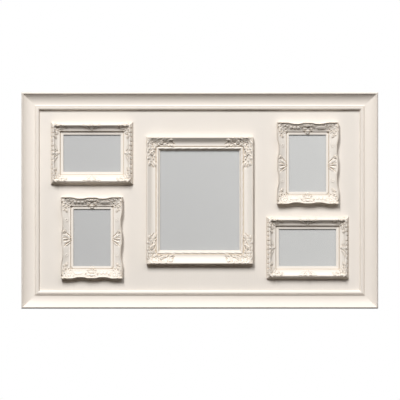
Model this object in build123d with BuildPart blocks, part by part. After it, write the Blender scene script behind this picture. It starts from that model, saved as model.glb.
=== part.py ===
from build123d import *
import math
import os

# Collage photo frame for the wall. X runs along its width, seen from the front,
# Z is up, and the viewer is at -Y. The wall is the plane Y = 0, which the backs of
# the four rails lie in, and the origin is the centre of the frame in that plane.
# Heights of a section are measured from the wall towards the viewer.

# Whole frame
frame_width = 890.0
frame_height = 540.0

# Rails: one scooped moulding, mitred at the corners
rail_face = 45.0
rail_crest = 34.0
crest_width = 4.0
crest_round = 3.0
crest_drop = 1.0
scoop_floor = 21.8
scoop_low_share = 0.82
quirk_rise = 0.4
quirk_width = 1.5
quirk_depth = 1.0
bead_width = 9.0
bead_top = 25.4
bead_top_share = 0.4
bead_shoulder = 24.4
bead_foot = 19.5
rebate_width = 9.0

# Display panel, held in the rebate of the rails
panel_front = 18.0
panel_thickness = 6.0
panel_fit = 0.5

# Standard photographs: width and height, and how far each moulding covers them
small_photo = (102.0, 152.0)
large_photo = (203.0, 254.0)
small_cover = 4.5
large_cover = 3.5
photo_fit = 0.5
glass_thickness = 2.0
insert_thickness = 0.5
backing_thickness = 3.2

# Places of the small frames on the panel, from its centre
column_place = 269.5
landscape_place = 118.0
portrait_place = 93.0

# Landscape frames: moulding widths from the outer edge in, and heights above the panel
land_face = 31.5
land_crest = 16.0
land_toe = 1.5
land_ledge_in = 2.4
land_ledge_height = 8.0
land_ledge_width = 1.0
land_crest_in = 5.2
land_crest_width = 4.2
land_cove_mid = 6.4
land_cove_mid_share = 0.43
land_cove_end = 7.0
land_cove_width = 14.2
land_step = 4.4
land_lip_fall = 0.6

# Portrait frames: swept outline, narrow crest, wide cove, inner bead and lip
port_face = 30.5
port_crest = 16.0
port_crest_width = 3.7
port_crest_round = 1.2
port_cove_start = 2.9
port_cove_top = 13.5
port_cove_mid = 7.6
port_cove_mid_share = 0.61
port_cove_width = 17.5
port_cove_end = 5.6
port_bead_width = 3.8
port_bead_top = 7.6
port_bead_foot = 4.0
port_lip_fall = 2.0
port_sweep_short = 3.4
port_sweep_long = 4.6
port_sweep_round = 14.0
# along half a side from its corner, and how much of the sweep is cut there
port_sweep_shares = ((0.18, 0.0), (0.27, 1.0), (0.37, 1.0), (0.43, 0.3))

# Centre frame: smooth crest, cove, ribbon band and bevelled sight lip
mid_face = 35.5
mid_crest = 16.0
mid_crest_in = 2.0
mid_crest_side = 13.5
mid_crest_width = 1.6
mid_cove_in = 5.4
mid_cove_top = 14.2
mid_cove_mid = 7.6
mid_cove_mid_share = 0.5
mid_band_in = 22.0
mid_band_width = 8.0
mid_band_floor = 5.6
mid_lip_top = 6.8
mid_lip_width = 2.0
mid_lip_foot = 1.8
ribbon_pitch = 22.0
ribbon_length = 20.0
ribbon_width = 5.6
ribbon_lean = 1.6

# Carved leaves: from, to and width, as shares of the ornament's size, and scroll ends:
# place and radius. A corner is measured from the outer corner along its two sides, a
# centre piece along the side from its middle and inwards from the outer edge.
carve_low = 1.3
carve_high = 2.4
carve_ridge_share = 0.42

land_corner = 33.0
land_corner_shares = (
    (0.20, 0.20, 0.96, 0.92, 0.26),
    (0.22, 0.22, 1.08, 0.34, 0.24),
    (0.22, 0.22, 0.34, 1.08, 0.24),
    (0.34, 0.30, 0.90, 0.60, 0.20),
    (0.30, 0.34, 0.60, 0.90, 0.20),
)
land_corner_disc_shares = ((0.98, 0.27, 0.085), (0.27, 0.98, 0.085))
land_centre = 39.0
land_centre_shares = (
    (0.00, 0.20, 0.00, 0.58, 0.24),
    (0.02, 0.26, 0.22, 0.50, 0.16),
    (-0.02, 0.26, -0.22, 0.50, 0.16),
    (0.04, 0.25, 0.46, 0.33, 0.18),
    (-0.04, 0.25, -0.46, 0.33, 0.18),
)
land_centre_disc_shares = ((0.00, 0.22, 0.09), (0.43, 0.25, 0.06), (-0.43, 0.25, 0.06))
land_lump_pitch = 8.5
land_lump_radius = 2.6

port_corner = 52.0
port_corner_shares = (
    (0.09, 0.09, 0.56, 0.56, 0.16),
    (0.12, 0.10, 0.66, 0.36, 0.14),
    (0.10, 0.12, 0.36, 0.66, 0.14),
    (0.16, 0.13, 0.86, 0.25, 0.12),
    (0.13, 0.16, 0.25, 0.86, 0.12),
)
port_corner_disc_shares = ((0.84, 0.21, 0.055), (0.21, 0.84, 0.055))
port_centre = 38.0
port_centre_shares = (
    (0.00, 0.20, 0.00, 0.76, 0.22),
    (0.04, 0.22, 0.24, 0.62, 0.15),
    (-0.04, 0.22, -0.24, 0.62, 0.15),
    (0.06, 0.24, 0.46, 0.46, 0.15),
    (-0.06, 0.24, -0.46, 0.46, 0.15),
    (0.04, 0.24, 0.56, 0.26, 0.13),
    (-0.04, 0.24, -0.56, 0.26, 0.13),
)
port_centre_disc_shares = ((0.00, 0.24, 0.11),)
port_oval_share = 0.30
port_oval_length = 27.0
port_oval_width = 8.0
port_oval_in = 12.0

mid_corner = 70.0
mid_corner_shares = (
    (0.06, 0.06, 0.42, 0.42, 0.13),
    (0.08, 0.07, 0.52, 0.26, 0.12),
    (0.07, 0.08, 0.26, 0.52, 0.12),
    (0.30, 0.09, 0.72, 0.15, 0.09),
    (0.09, 0.30, 0.15, 0.72, 0.09),
    (0.34, 0.28, 0.80, 0.34, 0.10),
    (0.28, 0.34, 0.34, 0.80, 0.10),
    (0.58, 0.14, 0.98, 0.24, 0.10),
    (0.14, 0.58, 0.24, 0.98, 0.10),
    (0.44, 0.38, 0.96, 0.40, 0.07),
    (0.38, 0.44, 0.40, 0.96, 0.07),
)
mid_corner_disc_shares = (
    (0.42, 0.22, 0.085), (0.22, 0.42, 0.085), (0.95, 0.25, 0.045), (0.25, 0.95, 0.045),
)

# Turn buttons: plates that swing on a screw and cover the edge of a backing board
button_length = 28.0
button_width = 12.0
button_thickness = 1.0
button_reach = 9.0
button_gap = 0.1
pivot_radius = 1.5
pivot_fit = 0.08
pivot_depth = 4.8
pivot_head_radius = 3.2
pivot_head_height = 1.6

# Countersunk screws that hold the small frames to the panel from behind
screw_radius = 1.75
screw_head_radius = 3.4
screw_length = 10.0
screw_fit = 0.05
screw_tip_gap = 0.5

# Flat points that hold the panel in the rebate
point_width = 10.0
point_length = 16.0
point_gauge = 0.6
point_fit = 0.05
points_along = 5
points_up = 3

# V nails across the mitres
v_nail_leg = 5.0
v_nail_rise = 3.0
v_nail_gauge = 0.6
v_nail_depth = 10.0
v_nail_fit = 0.05
v_nail_shares = (0.35, 0.68)

# Hangers: a strap on each side rail with a D-shaped ring in its loop
hanger_height = 150.0
strap_width = 14.0
strap_length = 44.0
strap_gauge = 0.8
strap_screw_shares = (0.50, 0.82)
ring_wire = 1.25
ring_fit = 0.12
ring_half_width = 11.5
ring_depth = 15.0
ring_corner = 3.0
ring_tilt = 1.5
hanger_screw_radius = 1.75
hanger_screw_fit = 0.1
hanger_head_radius = 3.3
hanger_head_height = 2.0
hanger_screw_length = 14.0

overrun = 1.0

# Sizes that follow from the ones above
rail_back = rail_face - rebate_width
panel_back = panel_front - panel_thickness
panel_width = frame_width - 2 * rail_back - 2 * panel_fit
panel_height = frame_height - 2 * rail_back - 2 * panel_fit
small_window = (small_photo[0] - 2 * small_cover, small_photo[1] - 2 * small_cover)
large_window = (large_photo[0] - 2 * large_cover, large_photo[1] - 2 * large_cover)
loop_radius = ring_wire + ring_fit + strap_gauge


def turned(size):
    """The same photograph laid on its long side."""
    return (size[1], size[0])


def grown(size, margin):
    """A width and height with a margin on every side."""
    return (size[0] + 2 * margin, size[1] + 2 * margin)


# name, place on the panel, photograph, window, face width, which sides have buttons
frames = (
    ("landscape_frame_top_left", (-column_place, landscape_place),
     turned(small_photo), turned(small_window), land_face, "tb"),
    ("landscape_frame_bottom_right", (column_place, -landscape_place),
     turned(small_photo), turned(small_window), land_face, "tb"),
    ("portrait_frame_bottom_left", (-column_place, -portrait_place),
     small_photo, small_window, port_face, "lr"),
    ("portrait_frame_top_right", (column_place, portrait_place),
     small_photo, small_window, port_face, "lr"),
    ("centre_frame", (0, 0), large_photo, large_window, mid_face, "tblr"),
)


def facing_viewer(height, place=(0, 0)):
    """Plane parallel to the wall, seen from the front, at a height above it."""
    return Plane(origin=(place[0], -height, place[1]), x_dir=(1, 0, 0), z_dir=(0, -1, 0))


def facing_wall(height, place=(0, 0)):
    """Plane parallel to the wall that looks back at it."""
    return Plane(origin=(place[0], -height, place[1]), x_dir=(-1, 0, 0), z_dir=(0, 1, 0))


def across_side(inward, size, height):
    """Plane of a moulding's section at the middle of one side: x inwards, y to the viewer."""
    origin = Vector(-inward.X * size[0] / 2, -height, -inward.Z * size[1] / 2)
    return Plane(origin=origin, x_dir=inward, z_dir=inward.cross(Vector(0, -1, 0)))


corners = ((1, 1), (1, -1), (-1, 1), (-1, -1))
inwards = (Vector(0, 0, -1), Vector(0, 0, 1), Vector(1, 0, 0), Vector(-1, 0, 0))


def mitred_side(section, inward, size):
    """One side of a frame: its section drawn along the whole side, cut at both mitres."""
    along = inward.cross(Vector(0, -1, 0))
    length = size[0] if inward.Z else size[1]
    with BuildPart() as side:
        extrude(section, amount=length / 2, both=True)
        for end in (-1, 1):
            outer = (end * along.X - inward.X) * size[0] / 2
            upper = (end * along.Z - inward.Z) * size[1] / 2
            split(
                bisect_by=Plane(origin=(outer, 0, upper), z_dir=-end * along - inward),
                keep=Keep.TOP,
            )
    return side.part


def export(piece, name):
    """Label a finished piece and write it under its own name."""
    piece.label = name
    export_step(piece, f"parts/{name}.step")


# Rails

def v_nail_sketch(corner, fit):
    """Bent strips across one mitre, widened by a fit."""
    plane = Plane(
        origin=(corner[0] * frame_width / 2, 0, corner[1] * frame_height / 2),
        x_dir=(-corner[0], 0, -corner[1]),
        z_dir=(0, -1, 0),
    )
    with BuildSketch(plane) as nails:
        for share in v_nail_shares:
            start = share * rail_back * math.sqrt(2)
            with BuildLine():
                Polyline(
                    (start - fit, -v_nail_leg - fit),
                    (start + v_nail_rise, 0),
                    (start - fit, v_nail_leg + fit),
                )
            trace(line_width=v_nail_gauge + 2 * fit)
    return nails.sketch


def point_places():
    """Places along the inner edge of the rails' backs, with the way that each point enters."""
    half = ((frame_width - 2 * rail_back) / 2, (frame_height - 2 * rail_back) / 2)
    places = []
    for number in range(points_along):
        along = half[0] * (2 * (number + 0.5) / points_along - 1)
        places.append((along, half[1], 0))
        places.append((along, -half[1], 0))
    for number in range(points_up):
        up = half[1] * (2 * (number + 0.5) / points_up - 1)
        places.append((half[0], up, 90))
        places.append((-half[0], up, 90))
    return places


def panel_point_block(fit):
    """All the flat points, as thick as their gauge, each grown by a fit."""
    with BuildPart() as points:
        for x, z, turn in point_places():
            with BuildSketch(facing_viewer(panel_back - point_gauge - fit, (x, z))):
                if turn:
                    Rectangle(point_length + 2 * fit, point_width + 2 * fit)
                else:
                    Rectangle(point_width + 2 * fit, point_length + 2 * fit)
            extrude(amount=point_gauge + 2 * fit)
    return points.part


def strap_places():
    """Middle of each side rail's back, at the height of the ring's axis."""
    x = (frame_width - rail_back) / 2
    return {"left": (-x, hanger_height), "right": (x, hanger_height)}


def rail_section(plane):
    """Section of the rails: rounded crest, scoop, quirk, bead and the rebate behind it."""
    quirk_in = rail_face - bead_width - quirk_width
    bead_in = rail_face - bead_width
    scoop_in = crest_width + (quirk_in - crest_width) * scoop_low_share
    quirk_edge = scoop_floor + quirk_rise
    quirk_floor = quirk_edge - quirk_depth
    crest_bend = crest_round * (1 - math.sqrt(0.5))
    with BuildSketch(plane) as section:
        with BuildLine():
            Line((0, 0), (0, rail_crest - crest_round))
            ThreePointArc(
                (0, rail_crest - crest_round),
                (crest_bend, rail_crest - crest_bend),
                (crest_round, rail_crest),
            )
            Line((crest_round, rail_crest), (crest_width, rail_crest - crest_drop))
            ThreePointArc(
                (crest_width, rail_crest - crest_drop),
                (scoop_in, scoop_floor),
                (quirk_in, quirk_edge),
            )
            Polyline((quirk_in, quirk_edge), (quirk_in, quirk_floor), (bead_in, quirk_floor))
            Line((bead_in, quirk_floor), (bead_in, bead_shoulder))
            ThreePointArc(
                (bead_in, bead_shoulder),
                (bead_in + bead_width * bead_top_share, bead_top),
                (rail_face, bead_foot),
            )
            Polyline(
                (rail_face, bead_foot),
                (rail_face, panel_front),
                (rail_back, panel_front),
                (rail_back, 0),
                (0, 0),
            )
        make_face()
    return section.sketch


def rail(inward, slots):
    """One rail, cut for the nails, the points and the screws of the hangers."""
    size = (frame_width, frame_height)
    with BuildPart() as moulding:
        add(mitred_side(rail_section(across_side(inward, size, 0)), inward, size))
        for corner in corners:
            nails = v_nail_sketch(corner, v_nail_fit)
            extrude(nails, amount=v_nail_depth + v_nail_fit, mode=Mode.SUBTRACT)
        add(slots, mode=Mode.SUBTRACT)
        for x, z in strap_places().values():
            for share in strap_screw_shares:
                with BuildSketch(facing_viewer(0, (x, z - share * strap_length))):
                    Circle(hanger_screw_radius + hanger_screw_fit)
                extrude(amount=hanger_screw_length, mode=Mode.SUBTRACT)
    return moulding.part


def build_rails():
    slots = panel_point_block(point_fit)
    for name, inward in zip(("top", "bottom", "left", "right"), inwards):
        export(rail(inward, slots), f"{name}_rail")
    export(panel_point_block(0), "panel_points")
    with BuildPart() as nails:
        for corner in corners:
            extrude(v_nail_sketch(corner, 0), amount=v_nail_depth)
    export(nails.part, "mitre_v_nails")


# Panel and what closes its openings

def screw_places(place, photo, outer):
    """Four screws behind the corners of a small frame, midway between its edges."""
    opening = grown(photo, photo_fit)
    x = (outer[0] + opening[0]) / 4
    z = (outer[1] + opening[1]) / 4
    return [
        (place[0] + side * x, place[1] + level * z) for side in (-1, 1) for level in (-1, 1)
    ]


def button_places(place, photo, sides):
    """Pivots of the turn buttons round one opening, and the way that each points."""
    opening = grown(photo, photo_fit)
    x = opening[0] / 2 + button_reach
    z = opening[1] / 2 + button_reach
    spots = {
        "t": (place[0], place[1] + z, Vector(0, 0, -1)),
        "b": (place[0], place[1] - z, Vector(0, 0, 1)),
        "l": (place[0] - x, place[1], Vector(1, 0, 0)),
        "r": (place[0] + x, place[1], Vector(-1, 0, 0)),
    }
    return [(side, spots[side]) for side in sides]


def build_panel():
    with BuildPart() as panel:
        with BuildSketch(facing_viewer(panel_back)):
            Rectangle(panel_width, panel_height)
            for name, place, photo, window, face, sides in frames:
                with Locations(place):
                    Rectangle(*grown(photo, photo_fit), mode=Mode.SUBTRACT)
        extrude(amount=panel_thickness)
        for name, place, photo, window, face, sides in frames:
            for spot in screw_places(place, photo, grown(window, face)):
                with Locations(facing_wall(panel_back, spot)):
                    CounterSinkHole(
                        radius=screw_radius + screw_fit,
                        counter_sink_radius=screw_head_radius + screw_fit,
                        depth=panel_thickness + overrun,
                        counter_sink_angle=90,
                    )
            for side, (x, z, inward) in button_places(place, photo, sides):
                with Locations(facing_wall(panel_back, (x, z))):
                    Hole(radius=pivot_radius, depth=pivot_depth)
    export(panel.part, "display_panel")


def build_stack():
    """Glass, insert and backing board of each opening, one behind the other."""
    layers = (
        ("glass", panel_front - glass_thickness, glass_thickness),
        ("photo_insert", panel_front - glass_thickness - insert_thickness, insert_thickness),
        (
            "backing_board",
            panel_front - glass_thickness - insert_thickness - backing_thickness,
            backing_thickness,
        ),
    )
    for name, place, photo, window, face, sides in frames:
        where = name.replace("_frame", "")
        for layer, height, thickness in layers:
            with BuildPart() as sheet:
                with BuildSketch(facing_viewer(height, place)):
                    Rectangle(*photo)
                extrude(amount=thickness)
            export(sheet.part, f"{where}_{layer}")


def countersunk_screw():
    """Screw along +Z with the flat of its head at the origin."""
    cone = screw_head_radius - screw_radius
    with BuildPart() as screw:
        with BuildSketch(Plane.XZ):
            Polygon(
                (0, 0), (screw_head_radius, 0), (screw_radius, cone),
                (screw_radius, screw_length - screw_radius), (0, screw_length),
                align=None,
            )
        revolve(axis=Axis.Z)
    return screw.part


def domed_screw(radius, length, head_radius, head_height):
    """Screw along +Z with the seat of its domed head at the origin."""
    ball = (head_radius ** 2 + head_height ** 2) / (2 * head_height)
    halfway = head_radius / 2
    with BuildPart() as screw:
        with BuildSketch(Plane.XZ):
            with BuildLine():
                Polyline((0, -head_height), (0, length), (radius, length), (radius, 0), (head_radius, 0))
                ThreePointArc(
                    (head_radius, 0),
                    (halfway, ball - head_height - math.sqrt(ball ** 2 - halfway ** 2)),
                    (0, -head_height),
                )
            make_face()
        revolve(axis=Axis.Z)
    return screw.part


def placed_group(piece, planes):
    """Copies of one piece as separate solids of one node."""
    with BuildPart() as group:
        for plane in planes:
            with Locations(plane):
                add(piece)
    return group.part


def build_buttons():
    head_plane = panel_back - button_gap - button_thickness - button_gap
    pivots = []
    for name, place, photo, window, face, sides in frames:
        where = name.replace("_frame", "")
        words = {"t": "top", "b": "bottom", "l": "left", "r": "right"}
        for side, (x, z, inward) in button_places(place, photo, sides):
            origin = (x, -head_plane - button_gap, z)
            plane = Plane(origin=origin, x_dir=inward, z_dir=(0, -1, 0))
            with BuildPart() as button:
                with BuildSketch(plane):
                    with Locations((button_length / 2 - button_width / 2, 0)):
                        SlotOverall(button_length, button_width)
                    Circle(pivot_radius + pivot_fit, mode=Mode.SUBTRACT)
                extrude(amount=button_thickness)
            export(button.part, f"{where}_turn_button_{words[side]}")
            pivots.append(facing_viewer(head_plane, (x, z)))
    length = pivot_depth + 2 * button_gap + button_thickness - screw_tip_gap
    screw = domed_screw(pivot_radius, length, pivot_head_radius, pivot_head_height)
    export(placed_group(screw, pivots), "turn_button_screws")
    heads = []
    for name, place, photo, window, face, sides in frames:
        for spot in screw_places(place, photo, grown(window, face)):
            heads.append(facing_viewer(panel_back, spot))
    export(placed_group(countersunk_screw(), heads), "frame_screws")


# Small frames

def moulding_ring(section, lift, size):
    """Four mitred sides of a small frame, with the moulding's surface raised by a lift."""
    with BuildPart() as ring:
        for inward in inwards:
            plane = across_side(inward, size, panel_front)
            add(mitred_side(section(plane, lift), inward, size))
    return ring.part


def corner_places(size, corner, ornament, x_share, z_share):
    """Point of a corner ornament, in the plane of its frame."""
    return (
        corner[0] * (size[0] / 2 - x_share * ornament),
        corner[1] * (size[1] / 2 - z_share * ornament),
    )


def side_places(size, inward, along, depth):
    """Point so far along a side from its middle and so far in, in the plane of its frame."""
    side = inward.cross(Vector(0, -1, 0))
    return (
        -inward.X * (size[0] / 2 - depth) + side.X * along,
        -inward.Z * (size[1] / 2 - depth) + side.Z * along,
    )


def corner_leaves(size, ornament, shares):
    """Leaves of all four corners: from, to and width."""
    return [
        (
            corner_places(size, corner, ornament, x0, z0),
            corner_places(size, corner, ornament, x1, z1),
            width * ornament,
        )
        for corner in corners
        for x0, z0, x1, z1, width in shares
    ]


def corner_discs(size, ornament, shares):
    """Scroll ends of all four corners: place and radius."""
    return [
        (corner_places(size, corner, ornament, x, z), radius * ornament)
        for corner in corners
        for x, z, radius in shares
    ]


def side_leaves(size, ornament, shares):
    """Leaves in the middle of all four sides: from, to and width."""
    return [
        (
            side_places(size, inward, x0 * ornament, z0 * ornament),
            side_places(size, inward, x1 * ornament, z1 * ornament),
            width * ornament,
        )
        for inward in inwards
        for x0, z0, x1, z1, width in shares
    ]


def side_discs(size, ornament, shares):
    """Scroll ends in the middle of all four sides: place and radius."""
    return [
        (side_places(size, inward, x * ornament, z * ornament), radius * ornament)
        for inward in inwards
        for x, z, radius in shares
    ]


def carving(section, size, leaves, discs, width_share, lift):
    """Leaves and scroll ends standing out of a moulding by a lift, shaped like its surface."""
    with BuildSketch(facing_viewer(panel_front + overrun)) as outline:
        for start, end, full_width in leaves:
            width = full_width * width_share
            run = Vector(*end) - Vector(*start)
            middle = (Vector(*end) + Vector(*start)) * 0.5
            side = Vector(-run.Y, run.X).normalized() * (width / 2)
            with BuildLine():
                ThreePointArc(start, middle + side, end)
                ThreePointArc(end, middle - side, start)
            make_face()
        for spot, radius in discs:
            with Locations(spot):
                Circle(radius * width_share)
    with BuildPart() as relief:
        extrude(outline.sketch, amount=frame_width)
        add(moulding_ring(section, lift, size), mode=Mode.INTERSECT)
    return relief.part


def pilot_holes(photo, size):
    """Blind holes in a small frame for the screws from behind, as one block."""
    depth = screw_length - panel_thickness + screw_tip_gap
    with BuildPart() as holes:
        for spot in screw_places((0, 0), photo, size):
            with BuildSketch(facing_viewer(panel_front - overrun, spot)):
                Circle(screw_radius + screw_fit)
            extrude(amount=depth + overrun)
    return holes.part


def landscape_section(plane, lift):
    """Landscape moulding: sloped side with a ledge, round crest, cove and lip."""
    crest_out = land_crest_in + land_crest_width
    cove_in = crest_out + land_cove_width
    mid_in = crest_out + land_cove_width * land_cove_mid_share
    crest_side = land_crest - land_toe + lift
    lip = land_cove_end - land_step + lift
    with BuildSketch(plane) as section:
        with BuildLine():
            Polyline(
                (0, 0),
                (0, land_toe + lift),
                (land_ledge_in, land_ledge_height + lift),
                (land_ledge_in + land_ledge_width, land_ledge_height + lift),
                (land_crest_in, crest_side),
            )
            ThreePointArc(
                (land_crest_in, crest_side),
                (land_crest_in + land_crest_width / 2, land_crest + lift),
                (crest_out, crest_side),
            )
            ThreePointArc(
                (crest_out, crest_side),
                (mid_in, land_cove_mid + lift),
                (cove_in, land_cove_end + lift),
            )
            Polyline(
                (cove_in, land_cove_end + lift),
                (cove_in, lip),
                (land_face, lip - land_lip_fall),
                (land_face, 0),
                (0, 0),
            )
        make_face()
    return section.sketch


def landscape_frame(photo, window):
    size = grown(window, land_face)
    leaves = corner_leaves(size, land_corner, land_corner_shares)
    leaves += side_leaves(size, land_centre, land_centre_shares)
    discs = corner_discs(size, land_corner, land_corner_disc_shares)
    discs += side_discs(size, land_centre, land_centre_disc_shares)
    lumps = []
    near = land_centre / 2
    far = size[1] / 2 - land_corner
    count = max(1, round((far - near) / land_lump_pitch))
    for inward in inwards[2:]:
        for number in range(count):
            along = near + (far - near) * (number + 0.5) / count
            for end in (-1, 1):
                depth = land_crest_in + land_crest_width / 2
                spot = side_places(size, inward, end * along, depth)
                lumps.append((spot, land_lump_radius))
    with BuildPart() as frame:
        add(moulding_ring(landscape_section, 0, size))
        add(carving(landscape_section, size, leaves, discs + lumps, 1, carve_low))
        add(carving(
            landscape_section, size, leaves, discs, carve_ridge_share, carve_high
        ))
        add(pilot_holes(photo, size), mode=Mode.SUBTRACT)
    return frame.part


def portrait_section(plane, lift):
    """Portrait moulding inside its crest: level rim, wide cove, bead and lip."""
    cove_in = port_cove_start + port_cove_width
    bead_in = cove_in + port_bead_width
    mid_in = port_cove_start + port_cove_width * port_cove_mid_share
    with BuildSketch(plane) as section:
        with BuildLine():
            Polyline((0, 0), (0, port_cove_top + lift), (port_cove_start, port_cove_top + lift))
            ThreePointArc(
                (port_cove_start, port_cove_top + lift),
                (mid_in, port_cove_mid + lift),
                (cove_in, port_cove_end + lift),
            )
            ThreePointArc(
                (cove_in, port_cove_end + lift),
                (cove_in + port_bead_width / 2, port_bead_top + lift),
                (bead_in, port_bead_foot + lift),
            )
            Polyline(
                (bead_in, port_bead_foot + lift),
                (port_face, port_bead_foot - port_lip_fall + lift),
                (port_face, 0),
                (0, 0),
            )
        make_face()
    return section.sketch


def swept_side(length, sweep_depth):
    """Points of one waved side: how far along it, and how far in."""
    points = [(share * length, cut * sweep_depth) for share, cut in port_sweep_shares]
    mirrored = [(length - along, cut) for along, cut in reversed(points)]
    return points + mirrored


def swept_outline(size, inset):
    """Outline of a portrait frame: full corners, drawn-in sides and fuller middles."""
    x = size[0] / 2
    z = size[1] / 2
    top = swept_side(size[0], port_sweep_short)
    side = swept_side(size[1], port_sweep_long)
    bends = [(-x + along, z - cut) for along, cut in top]
    bends += [(x - cut, z - along) for along, cut in side]
    bends += [(x - along, -z + cut) for along, cut in top]
    bends += [(-x + cut, -z + along) for along, cut in side]
    half = len(top)
    points = [(-x, z), *bends[:half], (x, z), *bends[half:2 * half]]
    points += [(x, -z), *bends[2 * half:3 * half], (-x, -z), *bends[3 * half:]]
    with BuildSketch() as outline:
        Polygon(*points, align=None)
        ends = [
            vertex for vertex in outline.vertices()
            if abs(vertex.X) + abs(vertex.Y) < x + z - port_sweep_long - port_sweep_short
        ]
        fillet(ends, port_sweep_round)
        if inset:
            offset(amount=-inset, kind=Kind.INTERSECTION, mode=Mode.REPLACE)
    return outline.sketch


def portrait_hollow(size):
    """All that lies above the cove, bead and lip, inside the crest and in the window."""
    with BuildPart() as hollow:
        with BuildSketch(facing_viewer(panel_front - overrun)):
            add(swept_outline(size, port_crest_width))
        extrude(amount=port_crest + 2 * overrun)
        add(moulding_ring(portrait_section, 0, size), mode=Mode.SUBTRACT)
    return hollow.part


def portrait_frame(photo, window):
    size = grown(window, port_face)
    leaves = corner_leaves(size, port_corner, port_corner_shares)
    leaves += side_leaves(size, port_centre, port_centre_shares)
    discs = corner_discs(size, port_corner, port_corner_disc_shares)
    discs += side_discs(size, port_centre, port_centre_disc_shares)
    ovals = []
    for inward in inwards[:2]:
        for end in (-1, 1):
            along = end * (size[0] / 2) * (1 - 2 * port_oval_share)
            start = side_places(size, inward, along - port_oval_length / 2, port_oval_in)
            stop = side_places(size, inward, along + port_oval_length / 2, port_oval_in)
            ovals.append((start, stop, port_oval_width))
    with BuildPart() as frame:
        with BuildSketch(facing_viewer(panel_front)):
            add(swept_outline(size, 0))
        extrude(amount=port_crest)
        add(portrait_hollow(size), mode=Mode.SUBTRACT)
        crest = frame.faces().sort_by(Axis.Y)[0]
        fillet(crest.edges(), port_crest_round)
        add(carving(portrait_section, size, leaves + ovals, discs, 1, carve_low))
        add(carving(
            portrait_section, size, leaves, discs, carve_ridge_share, carve_high
        ))
        add(pilot_holes(photo, size), mode=Mode.SUBTRACT)
    return frame.part


def centre_section(plane, lift):
    """Centre moulding: smooth crest, cove, band for the ribbon and bevelled sight lip."""
    band_out = mid_band_in + mid_band_width
    mid_in = mid_cove_in + (mid_band_in - mid_cove_in) * mid_cove_mid_share
    crest = mid_crest + lift
    with BuildSketch(plane) as section:
        with BuildLine():
            Polyline(
                (0, 0),
                (0, mid_crest_side + lift),
                (mid_crest_in, crest),
                (mid_crest_in + mid_crest_width, crest),
                (mid_cove_in, mid_cove_top + lift),
            )
            ThreePointArc(
                (mid_cove_in, mid_cove_top + lift),
                (mid_in, mid_cove_mid + lift),
                (mid_band_in, mid_band_floor + lift),
            )
            Polyline(
                (mid_band_in, mid_band_floor + lift),
                (band_out, mid_band_floor + lift),
                (band_out, mid_lip_top + lift),
                (band_out + mid_lip_width, mid_lip_top + lift),
                (mid_face, mid_lip_foot + lift),
                (mid_face, 0),
                (0, 0),
            )
        make_face()
    return section.sketch


def ribbon_lobe():
    """One turn of the twisted ribbon: a spindle along X, round in section."""
    with BuildPart() as turn:
        with BuildSketch():
            with BuildLine():
                Line((-ribbon_length / 2, 0), (ribbon_length / 2, 0))
                ThreePointArc((-ribbon_length / 2, 0), (0, ribbon_width / 2), (ribbon_length / 2, 0))
            make_face()
        revolve(axis=Axis.X)
    return turn.part


def ribbon_turns(size):
    """The ribbon's turns along all four sides, each leaning across its band."""
    turn = ribbon_lobe()
    depth = mid_band_in + mid_band_width / 2
    with BuildPart() as turns:
        for inward in inwards:
            side = inward.cross(Vector(0, -1, 0))
            half = (size[0] if inward.Z else size[1]) / 2 - mid_face
            count = round(2 * half / ribbon_pitch)
            for number in range(count):
                along = half * (2 * (number + 0.5) / count - 1)
                x, z = side_places(size, inward, along, depth)
                plane = Plane(
                    origin=(x, -panel_front - mid_band_floor, z),
                    x_dir=side * ribbon_length + inward * (2 * ribbon_lean),
                    z_dir=(0, -1, 0),
                )
                with Locations(plane):
                    add(turn)
    return turns.part


def centre_frame(photo, window):
    size = grown(window, mid_face)
    leaves = corner_leaves(size, mid_corner, mid_corner_shares)
    discs = corner_discs(size, mid_corner, mid_corner_disc_shares)
    with BuildPart() as frame:
        add(moulding_ring(centre_section, 0, size))
        add(ribbon_turns(size))
        add(carving(centre_section, size, leaves, discs, 1, carve_low))
        add(carving(centre_section, size, leaves, discs, carve_ridge_share, carve_high))
        add(pilot_holes(photo, size), mode=Mode.SUBTRACT)
    return frame.part


def build_small_frames():
    """Each kind is one casting; the two of a kind are the same casting in two places."""
    castings = {
        land_face: landscape_frame(turned(small_photo), turned(small_window)),
        port_face: portrait_frame(small_photo, small_window),
        mid_face: centre_frame(large_photo, large_window),
    }
    for name, place, photo, window, face, sides in frames:
        with BuildPart() as frame:
            with Locations((place[0], 0, place[1])):
                add(castings[face])
        export(frame.part, name)


# Hangers

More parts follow.
